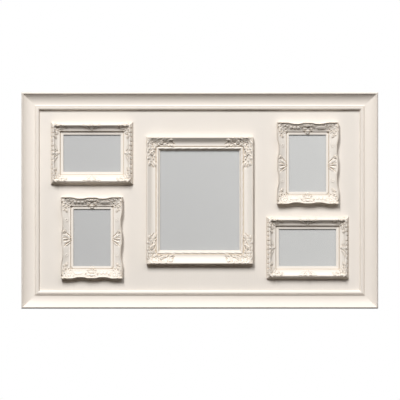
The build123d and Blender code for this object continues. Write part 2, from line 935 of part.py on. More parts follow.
def build_hangers():
    screws = []
    for side, (x, z) in strap_places().items():
        with BuildPart() as strap:
            with BuildSketch(Plane(origin=(x, 0, z), x_dir=(0, 1, 0), z_dir=(1, 0, 0))):
                with Locations((loop_radius, 0)):
                    Circle(loop_radius)
                with Locations((strap_gauge / 2, -strap_length / 2)):
                    Rectangle(strap_gauge, strap_length)
                with Locations((loop_radius, 0)):
                    Circle(ring_wire + ring_fit, mode=Mode.SUBTRACT)
            extrude(amount=strap_width / 2, both=True)
            foot = strap.edges().filter_by(Axis.Y).group_by(Axis.Z)[0]
            fillet(foot, strap_width / 2 - ring_fit)
            for share in strap_screw_shares:
                with BuildSketch(facing_wall(0, (x, z - share * strap_length))):
                    Circle(hanger_screw_radius + hanger_screw_fit)
                extrude(amount=strap_gauge, mode=Mode.SUBTRACT)
        export(strap.part, f"hanger_strap_{side}")
        for share in strap_screw_shares:
            screws.append(facing_viewer(-strap_gauge, (x, z - share * strap_length)))

        tilt = math.radians(ring_tilt)
        ring_plane = Plane(
            origin=(x, loop_radius, z), x_dir=(1, 0, 0), z_dir=(0, math.cos(tilt), math.sin(tilt))
        )
        inner = ring_half_width - ring_corner
        bow = ring_half_width
        straight = ring_depth - bow
        bend_in = ring_corner * (1 - math.sqrt(0.5))
        with BuildPart() as ring:
            with BuildLine(ring_plane) as bend:
                Line((0, 0), (inner, 0))
                ThreePointArc((inner, 0), (bow - bend_in, bend_in), (bow, ring_corner))
                Line((bow, ring_corner), (bow, straight))
                ThreePointArc((bow, straight), (0, ring_depth), (-bow, straight))
                Line((-bow, straight), (-bow, ring_corner))
                ThreePointArc((-bow, ring_corner), (bend_in - bow, bend_in), (-inner, 0))
                Line((-inner, 0), (0, 0))
            with BuildSketch(Plane(origin=(x, loop_radius, z), z_dir=(1, 0, 0))):
                Circle(ring_wire)
            sweep(path=bend.wire())
        export(ring.part, f"hanger_ring_{side}")
    length = hanger_screw_length + strap_gauge - screw_tip_gap
    screw = domed_screw(hanger_screw_radius, length, hanger_head_radius, hanger_head_height)
    export(placed_group(screw, screws), "hanger_screws")


os.makedirs("parts", exist_ok=True)
build_rails()
build_panel()
build_stack()
build_buttons()
build_small_frames()
build_hangers()
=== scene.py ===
# %% [markdown]
# # A collage photo frame, dressed for the camera
#
# The real object is a wall frame: four mitred lengths of scooped moulding round a flat
# painted board, with five small cast frames screwed to the board. Everything that shows
# from the front has one cream paint, so the looks come from form: the scoop of the outer
# moulding, and the carving of the small frames, lit from above.
#
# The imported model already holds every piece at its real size. This script keeps the plain
# pieces and gives them a finish, and makes the mouldings again as fine surfaces. A surface
# here is a grid of points that numpy works out at once. A modelling session with the mouse
# would also do it, but a formula can be read, changed and run again.

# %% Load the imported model
import math

import bpy
import numpy as np
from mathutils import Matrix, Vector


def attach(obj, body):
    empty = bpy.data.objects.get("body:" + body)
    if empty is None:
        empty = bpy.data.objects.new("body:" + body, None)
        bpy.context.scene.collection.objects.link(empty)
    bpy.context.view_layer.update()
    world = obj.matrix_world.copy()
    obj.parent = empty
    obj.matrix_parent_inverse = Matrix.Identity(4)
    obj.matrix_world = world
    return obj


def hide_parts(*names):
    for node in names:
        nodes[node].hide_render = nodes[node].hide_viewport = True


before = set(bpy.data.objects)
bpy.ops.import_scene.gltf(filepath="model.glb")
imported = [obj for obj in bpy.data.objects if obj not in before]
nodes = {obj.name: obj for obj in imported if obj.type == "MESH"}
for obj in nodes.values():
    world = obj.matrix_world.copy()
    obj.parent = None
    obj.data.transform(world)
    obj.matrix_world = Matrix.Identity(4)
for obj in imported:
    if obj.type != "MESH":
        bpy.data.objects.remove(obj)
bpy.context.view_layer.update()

# %% [markdown]
# ## Sizes
#
# All sizes are in millimetres, as in a workshop drawing, and become metres only when a
# mesh is made. Positions on the front are x to the right and z up; heights are measured
# from the wall towards the viewer. The board's front lies 18 mm from the wall.

# %% Named sizes of the real object
MM = 0.001
frame_size = (890.0, 540.0)
board_front = 18.0
print("frame:", frame_size, "mm; front of the board:", board_front, "mm from the wall")

# %% [markdown]
# ## From a grid to a mesh
#
# A moulding that goes round a window is a ring: its section is a closed line, and the
# section is carried round a closed path. So its points fill a grid that closes both ways,
# and every quad joins four neighbours. One helper does this for every moulding.

# %% Quads of a grid of points
def grid_faces(rows, columns, close_rows, close_columns):
    """Corner numbers of the quads between neighbouring points of a grid, row by row."""
    row = np.arange(rows if close_rows else rows - 1)
    column = np.arange(columns if close_columns else columns - 1)
    i, j = np.meshgrid(row, column, indexing="ij")
    next_i = (i + 1) % rows
    next_j = (j + 1) % columns
    quads = np.stack(
        [i * columns + j, i * columns + next_j, next_i * columns + next_j, next_i * columns + j],
        axis=-1,
    )
    return quads.reshape(-1, 4)


print("quads in an open grid of 3 by 4 points:", len(grid_faces(3, 4, False, False)))

# %% [markdown]
# A quad shows its front to the side from which its corners run anticlockwise. Whether they
# all do that outwards is told by the volume that they enclose: it comes out negative when
# the shell is inside out, and then every quad is turned round.

# %% From points and quads to an object
def outward(points, faces):
    """Turn all faces round if the shell's volume, summed over its faces, is negative."""
    flat = np.asarray(points).reshape(-1, 3)
    a, b, c, d = (flat[faces[:, corner]] for corner in range(4))
    volume = np.einsum("ij,ij->", a, np.cross(b, c)) + np.einsum("ij,ij->", a, np.cross(c, d))
    return faces if volume > 0 else faces[:, ::-1]


def new_piece(name, points, faces, body="frame"):
    """A smooth-shaded mesh object from points in millimetres, riding on a body."""
    mesh = bpy.data.meshes.new(name)
    mesh.from_pydata((np.asarray(points).reshape(-1, 3) * MM).tolist(), [], faces)
    mesh.polygons.foreach_set("use_smooth", np.ones(len(mesh.polygons), bool))
    mesh.update()
    piece = bpy.data.objects.new(name, mesh)
    bpy.context.scene.collection.objects.link(piece)
    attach(piece, body)
    print(name, "faces:", len(mesh.polygons))
    return piece


def sharp_by_angle(piece, degrees):
    """Mark the edges whose faces meet at more than an angle, so shading breaks there."""
    piece.data.set_sharp_from_angle(angle=math.radians(degrees))


# %% [markdown]
# ## Paint, card, glass, board and zinc
#
# A material starts from the real one. The frame is primed and sprayed with a cream satin
# paint: it fills the wood's grain, so the colour is even, with a faint orange peel from the
# spray. The small frames are cast resin in the same paint, with a brown painted shade in
# their hollows, at their foot and in a fine groove. One helper turns a hex colour to
# linear, and one adds a node. Sizes in a material are in metres, because Object
# coordinates are.

# %% Helpers for materials
def linear(hex_colour):
    """sRGB hex to linear RGBA: each channel to the power that the sRGB curve gives."""
    value = [int(hex_colour[i:i + 2], 16) / 255 for i in (1, 3, 5)]
    curve = [v / 12.92 if v <= 0.04045 else ((v + 0.055) / 1.055) ** 2.4 for v in value]
    return (*curve, 1.0)


def node(tree, kind, settings=None, inputs=None, links=None):
    """One node of a material: its properties, its socket values and what feeds it."""
    new = tree.nodes.new(kind)
    for key, value in (settings or {}).items():
        setattr(new, key, value)
    for key, value in (inputs or {}).items():
        new.inputs[key].default_value = value
    for key, socket in (links or {}).items():
        tree.links.new(socket, new.inputs[key])
    return new


def empty_material(name):
    """A node material with nothing in it but its output."""
    material = bpy.data.materials.new(name)
    material.use_nodes = True
    material.node_tree.nodes.clear()
    out = material.node_tree.nodes.new("ShaderNodeOutputMaterial")
    return material, material.node_tree, out


print("mid grey #808080 as linear red:", round(linear("#808080")[0], 3))

# %% [markdown]
# The spray leaves orange peel: soft dimples about 1.5 mm across and a few hundredths of a
# millimetre deep. Noise on Object coordinates, scaled from that size, gives them by bump.
# The tone drifts a little over a hand's width, as sprayed paint does. The board was laid
# off with a brush, which leaves faint upright strokes 3.5 mm apart.

# %% Satin cream paint on the wood
hand_width = 0.09
peel_width = 0.0015


def satin_paint(name, colour, drift, peel_depth, brush_pitch=0.0):
    """Cream paint: even colour with a slow drift, satin gloss, orange peel as bump."""
    material, tree, out = empty_material(name)
    place = node(tree, "ShaderNodeTexCoord").outputs["Object"]
    slow = node(tree, "ShaderNodeTexNoise", inputs={"Scale": 1 / hand_width, "Detail": 2.0},
                links={"Vector": place})
    tone = node(tree, "ShaderNodeMix", {"data_type": "RGBA"},
                {"A": linear(colour), "B": linear(drift)}, {"Factor": slow.outputs["Fac"]})
    peel = node(tree, "ShaderNodeTexNoise", inputs={"Scale": 1 / peel_width, "Detail": 1.0},
                links={"Vector": place})
    height = peel.outputs["Fac"]
    if brush_pitch:
        drawn = node(tree, "ShaderNodeMapping", inputs={"Scale": (1 / brush_pitch, 1.0, 6.0)},
                     links={"Vector": place})
        strokes = node(tree, "ShaderNodeTexNoise", inputs={"Scale": 1.0, "Detail": 3.0},
                       links={"Vector": drawn.outputs["Vector"]})
        height = node(tree, "ShaderNodeMath", {"operation": "MULTIPLY_ADD"}, {1: 3.0},
                      {0: strokes.outputs["Fac"], 2: height}).outputs[0]
    bump = node(tree, "ShaderNodeBump", inputs={"Strength": 0.6, "Distance": peel_depth},
                links={"Height": height})
    paint = node(tree, "ShaderNodeBsdfPrincipled",
                 inputs={"Roughness": 0.55, "Specular IOR Level": 0.2},
                 links={"Base Color": tone.outputs["Result"], "Normal": bump.outputs["Normal"]})
    tree.links.new(paint.outputs["BSDF"], out.inputs["Surface"])
    return material


rail_paint = satin_paint("satin cream paint on primed wood", "#EBE3DA", "#E7DFD5", 0.00006)
board_paint = satin_paint("satin cream paint on the board", "#EAE3DB", "#E5DED5", 0.00008, 0.0035)
print("paints:", rail_paint.name, "and", board_paint.name)

# %% [markdown]
# The carving gets painted shade: a darker brown is mixed into the cream where shade falls,
# and not on the high places. Each carved piece carries an attribute, "painted_shade",
# from 0 on open surfaces to 1 deep in the carving, worked out from its own heights, and high
# too at the foot of the casting and in the fine groove beside its window. The paint mixes the
# painted shade in by that attribute, in uneven patches some 4 mm across.

# %% Cream paint with painted shade in the hollows, for the castings
patch_width = 0.004


def paint_with_painted_shade(name):
    """Cream paint over resin, with a brown painted shade mixed in where the attribute
    painted_shade is high.
    """
    material, tree, out = empty_material(name)
    place = node(tree, "ShaderNodeTexCoord").outputs["Object"]
    painted_shade = node(tree, "ShaderNodeAttribute", {"attribute_name": "painted_shade"}).outputs["Fac"]
    fine = node(tree, "ShaderNodeTexNoise", inputs={"Scale": 1 / patch_width, "Detail": 3.0},
                links={"Vector": place})
    patchy = node(tree, "ShaderNodeMath", {"operation": "MULTIPLY"}, links={
        0: painted_shade,
        1: node(tree, "ShaderNodeMapRange", inputs={"To Min": 0.55, "To Max": 1.0},
                links={"Value": fine.outputs["Fac"]}).outputs["Result"],
    })
    # Painted shade: the brown #C2AE93 stands in for shade in the carving's hollows, at its foot
    # and in the groove.
    tone = node(tree, "ShaderNodeMix", {"data_type": "RGBA"},
                {"A": linear("#ECE5DC"), "B": linear("#C2AE93")},
                {"Factor": patchy.outputs[0]})
    bump = node(tree, "ShaderNodeBump", inputs={"Strength": 0.5, "Distance": 0.00012},
                links={"Height": fine.outputs["Fac"]})
    paint = node(tree, "ShaderNodeBsdfPrincipled",
                 inputs={"Roughness": 0.55, "Specular IOR Level": 0.2},
                 links={"Base Color": tone.outputs["Result"], "Normal": bump.outputs["Normal"]})
    tree.links.new(paint.outputs["BSDF"], out.inputs["Surface"])
    return material


casting_paint = paint_with_painted_shade("cream paint on cast resin with painted shade")
print("paint:", casting_paint.name)

# %% [markdown]
# Window glass 2 mm thick: clear, with a weak reflection that grows towards grazing angles.
# A full glass shader would bend the light and darken the card behind it, so the pane is
# mostly see-through by its alpha, and Layer Weight gives the growing reflection.

# %% Clear glass
def pane_glass(name):
    """Clear pane: nearly see-through from the front, more of a mirror from the side."""
    material, tree, out = empty_material(name)
    facing = node(tree, "ShaderNodeLayerWeight", inputs={"Blend": 0.25}).outputs["Facing"]
    alpha = node(tree, "ShaderNodeMapRange", inputs={"To Min": 0.05, "To Max": 0.75},
                 links={"Value": facing})
    glass = node(tree, "ShaderNodeBsdfPrincipled",
                 inputs={"Base Color": linear("#DCE4E2"), "Roughness": 0.03, "IOR": 1.5},
                 links={"Alpha": alpha.outputs["Result"]})
    tree.links.new(glass.outputs["BSDF"], out.inputs["Surface"])
    return material


glass = pane_glass("clear float glass")
print("glass:", glass.name)

# %% [markdown]
# The sheet in each window is plain grey card, uncoated and so quite dull. Its fibres are
# too fine to see and only roughen it. The sheets carry painted light: one blend across the
# frame makes all five a little lighter towards the right, where the light on them is brighter.

# %% Grey card
card_fibre = 0.0008


def plain_card(name):
    """Grey card behind the glass, with painted light: a little lighter towards the right of the
    frame.
    """
    material, tree, out = empty_material(name)
    place = node(tree, "ShaderNodeTexCoord").outputs["Object"]
    across = node(tree, "ShaderNodeSeparateXYZ", links={"Vector": place}).outputs["X"]
    # Painted light: the card grows lighter from left to right, for light that is brighter on the
    # right-hand sheets.
    step = node(tree, "ShaderNodeMapRange",
                inputs={"From Min": -0.35, "From Max": 0.35}, links={"Value": across})
    tone = node(tree, "ShaderNodeMix", {"data_type": "RGBA"},
                {"A": linear("#CDCCCC"), "B": linear("#DEDDDC")},
                {"Factor": step.outputs["Result"]})
    fibre = node(tree, "ShaderNodeTexNoise", inputs={"Scale": 1 / card_fibre, "Detail": 2.0},
                 links={"Vector": place})
    bump = node(tree, "ShaderNodeBump", inputs={"Strength": 0.2, "Distance": 0.00003},
                links={"Height": fibre.outputs["Fac"]})
    card = node(tree, "ShaderNodeBsdfPrincipled", inputs={"Roughness": 0.9, "IOR": 1.45},
                links={"Base Color": tone.outputs["Result"], "Normal": bump.outputs["Normal"]})
    tree.links.new(card.outputs["BSDF"], out.inputs["Surface"])
    return material


card = plain_card("plain grey card")
print("card:", card.name)

# %% [markdown]
# The backing is hardboard: brown wood fibre, steamed and pressed flat. The eye sees short
# dark and light fibres of a millimetre or two on a dull face.

# %% Hardboard
def pressed_board(name, colour, fleck, grain, roughness):
    """Pressed fibre board: short dark and light fibres as fine noise, dull surface."""
    material, tree, out = empty_material(name)
    place = node(tree, "ShaderNodeTexCoord").outputs["Object"]
    fibre = node(tree, "ShaderNodeTexNoise",
                 inputs={"Scale": 1 / grain, "Detail": 6.0, "Roughness": 0.7},
                 links={"Vector": place})
    tone = node(tree, "ShaderNodeMix", {"data_type": "RGBA"},
                {"A": linear(colour), "B": linear(fleck)}, {"Factor": fibre.outputs["Fac"]})
    bump = node(tree, "ShaderNodeBump", inputs={"Strength": 0.4, "Distance": 0.0001},
                links={"Height": fibre.outputs["Fac"]})
    board = node(tree, "ShaderNodeBsdfPrincipled", inputs={"Roughness": roughness, "IOR": 1.5},
                 links={"Base Color": tone.outputs["Result"], "Normal": bump.outputs["Normal"]})
    tree.links.new(board.outputs["BSDF"], out.inputs["Surface"])
    return material


hardboard = pressed_board("brown hardboard", "#6B4A32", "#7E5A3E", 0.0015, 0.6)
print("backing:", hardboard.name)

# %% [markdown]
# Turn buttons, screws, points and hangers are pressed or drawn steel with bright zinc on
# it. Zinc is a metal, so its colour is that of its reflections, and its fine grain spreads
# them a little more in some places than in others.

# %% Zinc plated steel
zinc_grain = 0.0012


def zinc_plate(name):
    """Bright zinc plating on pressed steel: metal with a fine grain in its gloss."""
    material, tree, out = empty_material(name)
    place = node(tree, "ShaderNodeTexCoord").outputs["Object"]
    grain = node(tree, "ShaderNodeTexNoise", inputs={"Scale": 1 / zinc_grain, "Detail": 2.0},
                 links={"Vector": place})
    gloss = node(tree, "ShaderNodeMapRange", inputs={"To Min": 0.38, "To Max": 0.56},
                 links={"Value": grain.outputs["Fac"]})
    zinc = node(tree, "ShaderNodeBsdfPrincipled",
                inputs={"Base Color": linear("#B3B6B9"), "Metallic": 1.0},
                links={"Roughness": gloss.outputs["Result"]})
    tree.links.new(zinc.outputs["BSDF"], out.inputs["Surface"])
    return material


zinc = zinc_plate("zinc plated steel")
print("hardware:", zinc.name)

# %% [markdown]
# Board, panes, cards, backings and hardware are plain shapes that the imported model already
# has at their real size. They keep that mesh and only get their finish, chosen by name.
# Rails and small frames are painted here too, but new surfaces replace them further down.

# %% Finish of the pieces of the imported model
def set_finish(name, material):
    """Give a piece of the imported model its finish, in every slot."""
    slots = nodes[name].data.materials
    if not len(slots):
        slots.append(material)
    for number in range(len(slots)):
        slots[number] = material


for name in nodes:
    if name.endswith("_glass"):
        set_finish(name, glass)
    elif name.endswith("_photo_insert"):
        set_finish(name, card)
    elif name.endswith("_backing_board"):
        set_finish(name, hardboard)
    elif name == "display_panel":
        set_finish(name, board_paint)
    elif name.endswith("_rail") or "_frame_" in name or name == "centre_frame":
        set_finish(name, rail_paint)
    else:
        set_finish(name, zinc)
print("pieces with a finish:", len(nodes))

# %% [markdown]
# ## The outer moulding
#
# A moulding is planed as one long profile: a thin rounded crest at the outer edge, a deep
# scoop, a small quirk, and a bead beside the board. Each rail is that closed profile
# carried along its length. The ends are cut at 45 degrees, which in the formula only means
# that a point further in stops sooner: its reach along the rail is half the outer length
# less its distance in.

# %% Profile of the rails
def arc_points(start, through, end, count):
    """Points on the circle through three points: centre where two bisectors meet."""
    (ax, ay), (bx, by), (cx, cy) = start, through, end
    a, b, c = ax**2 + ay**2, bx**2 + by**2, cx**2 + cy**2
    d = 2 * (ax * (by - cy) + bx * (cy - ay) + cx * (ay - by))
    ux = (a * (by - cy) + b * (cy - ay) + c * (ay - by)) / d
    uy = (a * (cx - bx) + b * (ax - cx) + c * (bx - ax)) / d
    radius = math.hypot(ax - ux, ay - uy)
    angles = np.unwrap([math.atan2(y - uy, x - ux) for x, y in (start, through, end)])
    turn = np.linspace(angles[0], angles[2], count)
    return np.stack([ux + radius * np.cos(turn), uy + radius * np.sin(turn)], axis=1)


def rail_profile():
    """Closed section of a rail as (distance in, height), from the wall round and back."""
    crest = arc_points((0, 27.5), (1.3, 31.8), (3.9, 34), 10)
    scoop = arc_points((4.8, 32.8), (27, 21.9), (31.6, 21.9), 40)
    quirk = [(32.8, 22.5), (35.0, 24.9), (35.6, 25.2), (35.9, 23.7), (36.8, 23.7)]
    top = arc_points((37.1, 25.0), (39.6, 25.4), (42.0, 24.6), 12)
    turn = arc_points((42.4, 24.4), (43.7, 22.6), (44.4, 19.4), 12)
    bead = np.concatenate([top, turn])
    back = [(44.6, 18.4), (45, 18), (36, 18), (36, 0)]
    return np.concatenate([[(0, 0.0)], crest, scoop, quirk, bead, back])


def rail_points(inward, size, profile, count):
    """The section at each station along a side; a point further in stops sooner."""
    across, up = inward
    half = (size[0] if up else size[1]) / 2
    share = np.linspace(-1, 1, count)[:, None]
    depth = profile[None, :, 0]
    along = share * (half - depth)
    height = np.broadcast_to(profile[None, :, 1], along.shape)
    depth = np.broadcast_to(depth, along.shape)
    if up:
        x, z = along, -up * (size[1] / 2 - depth)
    else:
        x, z = -across * (size[0] / 2 - depth), along
    return np.stack([x, -height, z], axis=-1)


profile = rail_profile()
print("corners in the rails' section:", len(profile))

# %% [markdown]
# The four rails differ only in the side that they lie on. A mitred end is closed by one
# face with all corners of the section, turned so that it too shows its front outwards: the
# edge that it shares with the first quad has to run the other way.

# %% The four rails
stations = 9
sides = {"top": (0, -1), "bottom": (0, 1), "left": (1, 0), "right": (-1, 0)}
for side, inward in sides.items():
    points = rail_points(inward, frame_size, profile, stations)
    faces = outward(points, grid_faces(stations, len(profile), False, True))
    near_end = list(range(len(profile)))
    far_end = [corner + (stations - 1) * len(profile) for corner in near_end]
    first = faces[0].tolist()
    if first[(first.index(0) + 1) % 4] == 1:
        near_end.reverse()
    else:
        far_end.reverse()
    rail = new_piece(f"{side}_moulding", points, faces.tolist() + [near_end, far_end])
    rail.data.materials.append(rail_paint)
    sharp_by_angle(rail, 35)
    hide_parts(f"{side}_rail")

# %% [markdown]
# ## Carving as a field of heights
#
# A cast frame comes from a mould of a carved original. Seen from the front, every place on
# its face has one height, so the whole carving can be one height field: a base moulding,
# plus leaves, scrolls, beads and shells that stand out of it. Each ornament is a formula
# of a place, and the highest one wins. That is close to how a carver thinks, and all of it
# runs on whole arrays. Sculpting with brushes would do it too, but not twice the same.
#
# An acanthus leaf is the main one: a half-round blade on a bowed spine, cut into lobes, with
# a drilled eye where two lobes meet, and fluted. A branch sets small leaves along a stem.
# Each ornament is tried at once on a patch of 40 by 40 mm.

# %% Leaf and branch
trial = np.meshgrid(np.linspace(-20, 20, 161), np.linspace(-20, 20, 161))


def tallest(heights):
    """Height of the highest place, in millimetres, rounded for printing."""
    return round(float(heights.max()), 2)


def heading(start, end):
    """Length of the way from start to end, and its direction as a step of one millimetre."""
    run, rise = end[0] - start[0], end[1] - start[1]
    length = math.hypot(run, rise)
    return length, run / length, rise / length


def leaf(x, y, start, end, width, height, bend=0.0, ribs=2, lobes=4):
    """Leaf from start to end along a bowed spine: half-round across, fuller near its root,
    cut into lobes with a drilled eye between two, fluted by ribs, with a vein down it."""
    x0, y0 = start
    length, ax, ay = heading(start, end)
    t = ((x - x0) * ax + (y - y0) * ay) / length
    side = -(x - x0) * ay + (y - y0) * ax
    inside = np.clip(t, 0, 1)
    side = side - bend * 4 * inside * (1 - inside)
    half = width / 2 * np.sin(np.pi * inside**0.75) ** 0.75 + 1e-6
    cut = np.abs(np.cos(np.pi * lobes * (inside - 0.06 * np.abs(side) / width)))
    lobed = half * (1 - 0.34 * cut**4)
    across = np.clip(side / lobed, -1, 1)
    dome = np.sqrt(1 - across**2)
    flute = 1 - 0.16 * (1 - np.cos(2 * np.pi * ribs * across)) * np.sin(np.pi * inside)
    vein = 1 - 0.30 * np.exp(-((side / (0.07 * width)) ** 2))
    eyes = 1 - 0.55 * cut**10 * np.exp(-(((np.abs(across) - 0.72) / 0.25) ** 2))
    rise = np.sin(np.pi * np.clip(inside * 0.92 + 0.06, 0, 1)) ** 0.5
    return np.where((t > 0) & (t < 1), height * dome * flute * vein * eyes * rise, 0.0)


def spray(x, y, start, end, bend, count, reach, height, lean=0.75):
    """Branch of foliage: small leaves that leave a bowed stem on both sides in turn,
    shorter towards its tip, and one at the tip itself."""
    x0, y0 = start
    length, ax, ay = heading(start, end)
    found = [leaf(x, y, start, end, reach * 0.42, height * 0.8, bend, 1, count)]
    for k in range(count):
        t = (k + 0.4) / count
        bow = bend * 4 * t * (1 - t)
        px, py = x0 + ax * t * length - ay * bow, y0 + ay * t * length + ax * bow
        hand = 1 if k % 2 else -1
        long = reach * (1 - 0.45 * t)
        qx = px + long * (ax * math.cos(lean) - hand * ay * math.sin(lean))
        qy = py + long * (ay * math.cos(lean) + hand * ax * math.sin(lean))
        found.append(leaf(x, y, (px, py), (qx, qy), long * 0.52, height, hand * 0.8, 1, 3))
    return np.maximum.reduce(found)


print("leaf of 3 mm:", tallest(leaf(*trial, (0, -15), (0, 15), 10, 3)),
      "branch of 3 mm:", tallest(spray(*trial, (0, -15), (0, 15), 2, 5, 9, 3)))

# %% [markdown]
# Rosettes, beads and ovals are the round ornaments. On a carving they are turned or punched
# with a shaped punch, so each is one formula of the distance from its middle: a ball, a
# flatter dome with a rim groove, or petals round an eye.

# %% Flower, bead and oval boss
def flower(x, y, centre, radius, height):
    """Small rosette: eight petals round a pierced eye."""
    dx, dy = x - centre[0], y - centre[1]
    away = np.hypot(dx, dy) / radius
    petal = 0.72 + 0.28 * np.cos(8 * np.arctan2(dy, dx))
    ring = np.exp(-(((away - 0.62) / 0.26) ** 2)) * petal
    eye = -0.5 * np.exp(-((away / 0.22) ** 2))
    return np.where(away < 1, height * (ring + eye), 0.0)


def bead(x, y, centre, radius, height):
    """Half ball, flattened or raised to a height."""
    away = np.hypot(x - centre[0], y - centre[1]) / radius
    return height * np.sqrt(np.clip(1 - away**2, 0, 1))


def oval(x, y, centre, half_long, half_wide, height):
    """Smooth oval boss: a flattened dome with a fine rim groove near its edge."""
    away = np.hypot((x - centre[0]) / half_long, (y - centre[1]) / half_wide)
    dome = height * np.clip(1 - away**4, 0, 1) ** 0.5
    groove = 0.45 * height * np.exp(-(((away - 0.80) / 0.07) ** 2))
    return np.where(away < 1, dome - groove, 0.0)


print("flower, bead and oval of 3 mm:", tallest(flower(*trial, (0, 0), 8, 3)),
      tallest(bead(*trial, (0, 0), 8, 3)), tallest(oval(*trial, (0, 0), 12, 8, 3)))

# %% [markdown]
# A scroll is where a leaf curls up: a rounded ridge that winds into a button. A shell is cut
# as ribs from one root, with a scalloped rim. Both are best told in turns and distances from
# a middle, because then every lap of the ridge and every rib is the same piece of formula.

# %% Scroll and shell
def scroll(x, y, centre, radius, height, turns=1.6, hand=1, start=0.0):
    """Volute: a ridge whose radius shrinks evenly as it turns, round in section, with a
    button at its middle."""
    dx, dy = x - centre[0], y - centre[1]
    away = np.hypot(dx, dy)
    angle = (hand * np.arctan2(dy, dx) - start) % (2 * np.pi)
    best = np.full_like(away, 1e9)
    for lap in range(int(math.ceil(turns)) + 1):
        wound = angle + 2 * np.pi * lap
        spiral = radius * (1 - wound / (2 * np.pi * (turns + 0.6)))
        gap = np.where(wound <= 2 * np.pi * turns, np.abs(away - spiral), 1e9)
        best = np.minimum(best, gap)
    thick = radius / (turns + 0.6) * 0.46
    ridge = height * np.sqrt(np.clip(1 - (best / thick) ** 2, 0, 1))
    button = height * 1.05 * np.sqrt(np.clip(1 - (away / (radius * 0.26)) ** 2, 0, 1))
    bed = 0.35 * height * np.clip(1 - (away / radius) ** 6, 0, 1)
    return np.maximum(np.maximum(ridge, button), bed)


def shell(x, y, root, way, radius, spread, ribs, height):
    """Scallop: ribs that fan out from a root, scalloped at the rim, dished near the root."""
    dx, dy = x - root[0], y - root[1]
    away = np.hypot(dx, dy)
    turn = (np.arctan2(dy, dx) - way + np.pi) % (2 * np.pi) - np.pi
    share = turn / spread
    wave = np.abs(np.cos(np.pi * ribs * share / 2))
    rim = radius * (1 - 0.22 * share**2) * (1 - 0.07 * (1 - wave))
    rib = 0.62 + 0.38 * wave**0.8
    along = np.clip(away / rim, 0, 1)
    rise = along**0.6 * np.clip((1 - along) * 6, 0, 1) ** 0.5
    return np.where(np.abs(share) < 1, height * rib * rise, 0.0)


print("scroll and shell of 3 mm:", tallest(scroll(*trial, (0, 0), 8, 3)),
      tallest(shell(*trial, (0, -10), np.pi / 2, 20, 0.8, 5, 3)))

# %% [markdown]
# Between two leaves the carver draws a V tool, which leaves a straight dark line that runs
# out at both ends. It is the one form that is taken away and not added.

# %% Cut of a V tool
def gouge(x, y, start, end, width, depth):
    """Cut of a V tool from start to end: deepest in its middle, running out at both ends."""
    x0, y0 = start
    length, ax, ay = heading(start, end)
    t = np.clip(((x - x0) * ax + (y - y0) * ay) / length, 0, 1)
    away = np.hypot(x - x0 - t * length * ax, y - y0 - t * length * ay)
    return depth * np.clip(1 - 2 * away / width, 0, 1) * (0.45 + 0.55 * np.sin(np.pi * t))


print("cut of 3 mm:", tallest(gouge(*trial, (0, -15), (0, 15), 4, 3)))

# %% [markdown]
# ## The ring that carries the carving
#
# A small frame is a ring. Its points run round the window along four mitred sides, and
# across from the outer edge, over the face, down to the glass and back under. The points
# lie about 0.55 mm apart on the four smaller frames and 0.7 mm apart on the centre one,
# which is fine enough for a vein in a leaf.

# %% Places on the ring
def outer_size(window, face):
    """Outside of a small frame: its window with the width of the face on both sides."""
    return window[0] + 2 * face, window[1] + 2 * face


def ring_places(size, face, step):
    """Round and across: x and z of each station for each distance in, along four sides."""
    width, tall = size
    count_x = int(width / step)
    count_z = int(tall / step)
    across = np.linspace(0, face, int(face / step) + 1)
    run_x = np.linspace(-1, 1, count_x, endpoint=False)[:, None]
    run_z = np.linspace(-1, 1, count_z, endpoint=False)[:, None]
    hx = width / 2 - across[None, :]
    hz = tall / 2 - across[None, :]
    x = np.concatenate([run_x * hx, hx + 0 * run_z, -run_x * hx, -hx + 0 * run_z])
    z = np.concatenate([hz + 0 * run_x, -run_z * hz, -hz + 0 * run_x, run_z * hz])
    return x, z, np.broadcast_to(across[None, :], x.shape)


print("places on a ring of 206 by 156 mm:", ring_places((206, 156), 31.5, 0.55)[0].shape)

# %% [markdown]
# The painted shade lies where the carving is sunk and shade falls there. A place that is lower
# than the mean of its surroundings is such a recess, and it counts in full from 0.9 mm down.
# The foot of the casting takes some painted shade over 2.4 mm, and the fine groove 24 mm in
# takes it as a thin line.

# %% Where the painted shade goes
full_hollow = 0.9
recess_painted_shade, foot_painted_shade, groove_painted_shade = 0.9, 0.45, 1.0
foot_width = 2.4
groove_place, groove_width = 24.0, 0.8


def hollow_share(height):
    """How far each place lies below the mean of its surroundings, from 0 to 1."""
    smooth = height.copy()
    for reach in (1, 2, 3):
        smooth = (np.roll(smooth, reach, 0) + np.roll(smooth, -reach, 0) + smooth * 2) / 4
        wide = np.pad(smooth, ((0, 0), (reach, reach)), mode="edge")
        smooth = (wide[:, :-2 * reach] + wide[:, 2 * reach:] + smooth * 2) / 4
    return np.clip((smooth - height) / full_hollow, 0, 1)


def painted_shade_share(carved, depth):
    """Painted shade at each place: how sunk it is, the foot of the casting and the groove, added
    up.
    """
    foot = foot_painted_shade * np.exp(-((depth / foot_width) ** 2))
    line = groove_painted_shade * np.exp(-(((depth - groove_place) / groove_width) ** 2))
    return np.clip(recess_painted_shade * hollow_share(carved) + foot + line, 0, 1)


print("painted shade on a flat face at its foot, middle and groove:",
      painted_shade_share(np.zeros((1, 3)), np.array([[0.0, 12.0, groove_place]])).round(2).tolist())

# %% [markdown]
# A small frame is then its moulding with the carving on it, and nothing of it may pass one
# greatest height. At the outer edge and at the window a wall goes straight down to the
# board, in two steps, and the back is flat, so the ring closes to one skin.

# %% From carving to casting
top_of_carving = 18.3


